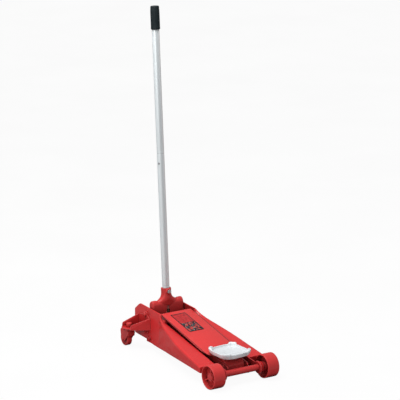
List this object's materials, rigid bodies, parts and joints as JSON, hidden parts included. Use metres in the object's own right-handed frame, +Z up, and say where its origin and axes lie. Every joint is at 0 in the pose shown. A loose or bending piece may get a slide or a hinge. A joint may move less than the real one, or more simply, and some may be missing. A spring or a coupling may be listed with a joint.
{
  "type": "trolley jack",
  "caption": "Low wheeled hydraulic floor jack with a long upright pump handle, a lifting arm under a sloping cover, a square saddle, two front rollers and two rear swivel casters.",
  "frame": {"origin": "floor point below the middle of the jack's length and width", "axes": "+X forward to the saddle end, +Y to the left side, +Z up from the floor"},
  "size_m": [0.748, 0.348, 1.4532],
  "materials": {
    "red_paint": "glossy red powder coat on pressed and welded steel",
    "cast_red": "semi-gloss red paint over slightly rough castings",
    "dark_red": "semi-gloss darker red paint on inner castings",
    "machined_steel": "turned steel, satin",
    "zinc_steel": "zinc plated, satin",
    "ram_chrome": "hard chrome, polished",
    "saddle_cast": "bright pale plated casting, fine grain",
    "tube_silver": "silver grey paint on tube, satin",
    "grip_rubber": "black soft-touch rubber",
    "label_print": null,
    "plug_rubber": "black moulded rubber"
  },
  "bodies": {
    "frame": {"side_frame_left": "red_paint", "side_frame_right": "red_paint", "front_axle": "cast_red", "wheel_retainer_left": "cast_red", "wheel_retainer_right": "cast_red", "arm_pivot_shaft": "machined_steel", "rod_anchor_pin_left": "machined_steel", "rod_anchor_pin_right": "machined_steel", "socket_pivot_pin_left": "cast_red", "socket_pivot_pin_right": "cast_red", "power_unit": "dark_red", "reservoir": "dark_red", "ram_gland_nut": "machined_steel", "filler_plug": "plug_rubber", "caster_bracket_left": "red_paint", "caster_bracket_right": "red_paint", "kingpin_left": "cast_red", "kingpin_right": "cast_red", "thrust_washer_left": "zinc_steel", "thrust_washer_right": "zinc_steel", "bracket_bolt_left": "cast_red", "bracket_bolt_right": "cast_red", "unit_bolt_upper_left": "cast_red", "unit_bolt_upper_right": "cast_red", "unit_bolt_lower_left": "cast_red", "unit_bolt_lower_right": "cast_red", "pump_spring": "machined_steel"},
    "lift_arm": {"lift_arm": "red_paint", "label_plate": "label_print", "lever_roller": "machined_steel", "lever_roller_pin": "machined_steel", "head_pin": "machined_steel"},
    "saddle_carrier": {"saddle_carrier": "dark_red", "rod_head_pin": "machined_steel"},
    "saddle": {"saddle": "saddle_cast"},
    "radius_rods": {"radius_rod_left": "red_paint", "radius_rod_right": "red_paint"},
    "ram": {"ram": "ram_chrome", "ram_crosshead": "dark_red"},
    "front_wheel_left": {"front_wheel_left": "cast_red"},
    "front_wheel_right": {"front_wheel_right": "cast_red"},
    "caster_left": {"caster_fork_left": "cast_red", "caster_axle_left": "cast_red"},
    "caster_right": {"caster_fork_right": "cast_red", "caster_axle_right": "cast_red"},
    "caster_wheel_left": {"caster_wheel_left": "cast_red"},
    "caster_wheel_right": {"caster_wheel_right": "cast_red"},
    "handle_socket": {"handle_socket": "cast_red", "socket_bolt": "zinc_steel", "pump_roller": "machined_steel", "pump_roller_pin": "machined_steel"},
    "handle": {"handle_tube_lower": "tube_silver", "handle_tube_upper": "tube_silver", "handle_grip": "grip_rubber", "release_coupler": "machined_steel"},
    "snap_button": {"snap_button": "machined_steel"},
    "release_valve": {"release_spindle": "machined_steel", "universal_cross": "machined_steel"},
    "pump_plunger": {"pump_plunger": "machined_steel"}
  },
  "joints": [
    {"name": "arm_lift", "type": "hinge", "parent": "frame", "child": "lift_arm", "pos_m": [-0.138, 0, 0.143], "axis": [0, -1, 0], "range_deg": [0, 60]},
    {"name": "carrier_level", "type": "hinge", "parent": "lift_arm", "child": "saddle_carrier", "pos_m": [0.274, 0, 0.06], "axis": [0, -1, 0], "range_deg": [-60, 0]},
    {"name": "saddle_turn", "type": "hinge", "parent": "saddle_carrier", "child": "saddle", "pos_m": [0.243, 0, 0.11], "axis": [0, 0, 1], "continuous": true},
    {"name": "rod_swing", "type": "hinge", "parent": "frame", "child": "radius_rods", "pos_m": [-0.126, 0, 0.116], "axis": [0, -1, 0], "range_deg": [0, 60]},
    {"name": "ram_slide", "type": "slide", "parent": "frame", "child": "ram", "axis": [1, 0, 0], "range_m": [0, 0.06]},
    {"name": "front_wheel_left_spin", "type": "hinge", "parent": "frame", "child": "front_wheel_left", "pos_m": [0.324, 0.1303, 0.05], "axis": [0, 1, 0], "continuous": true},
    {"name": "front_wheel_right_spin", "type": "hinge", "parent": "frame", "child": "front_wheel_right", "pos_m": [0.324, -0.1303, 0.05], "axis": [0, 1, 0], "continuous": true},
    {"name": "caster_left_swivel", "type": "hinge", "parent": "frame", "child": "caster_left", "pos_m": [-0.318, 0.141, 0.084], "axis": [0, 0, 1], "continuous": true},
    {"name": "caster_right_swivel", "type": "hinge", "parent": "frame", "child": "caster_right", "pos_m": [-0.318, -0.141, 0.084], "axis": [0, 0, 1], "continuous": true},
    {"name": "caster_wheel_left_spin", "type": "hinge", "parent": "caster_left", "child": "caster_wheel_left", "pos_m": [-0.343, 0.141, 0.031], "axis": [0, 1, 0], "continuous": true},
    {"name": "caster_wheel_right_spin", "type": "hinge", "parent": "caster_right", "child": "caster_wheel_right", "pos_m": [-0.343, -0.141, 0.031], "axis": [0, 1, 0], "continuous": true},
    {"name": "handle_pump", "type": "hinge", "parent": "frame", "child": "handle_socket", "pos_m": [-0.2415, 0, 0.158], "axis": [0, -1, 0], "range_deg": [0, 65]},
    {"name": "handle_twist", "type": "hinge", "parent": "handle_socket", "child": "handle", "pos_m": [-0.2415, 0, 0.158], "axis": [-0.0663, 0, 0.9978], "range_deg": [0, 90]},
    {"name": "button_press", "type": "slide", "parent": "handle", "child": "snap_button", "axis": [-0.4374, 0.8988, -0.0291], "range_m": [0, 0.002], "stiffness_N_per_m": 200},
    {"name": "valve_turn", "type": "hinge", "parent": "frame", "child": "release_valve", "pos_m": [-0.2415, 0, 0.158], "axis": [0, 0, 1], "range_deg": [0, 90]},
    {"name": "plunger_stroke", "type": "slide", "parent": "frame", "child": "pump_plunger", "axis": [0, 0, -1], "range_m": [0, 0.037], "deforming": ["pump_spring"]}
  ],
  "couplings": [
    {"joint": "carrier_level", "follows": "arm_lift", "ratio": -1},
    {"joint": "rod_swing", "follows": "arm_lift", "ratio": 1},
    {"joint": "ram_slide", "follows": "arm_lift", "m_per_rad": 0.05624},
    {"joint": "valve_turn", "follows": "handle_twist", "ratio": 1},
    {"joint": "plunger_stroke", "follows": "handle_pump", "m_per_rad": 0.03221}
  ]
}
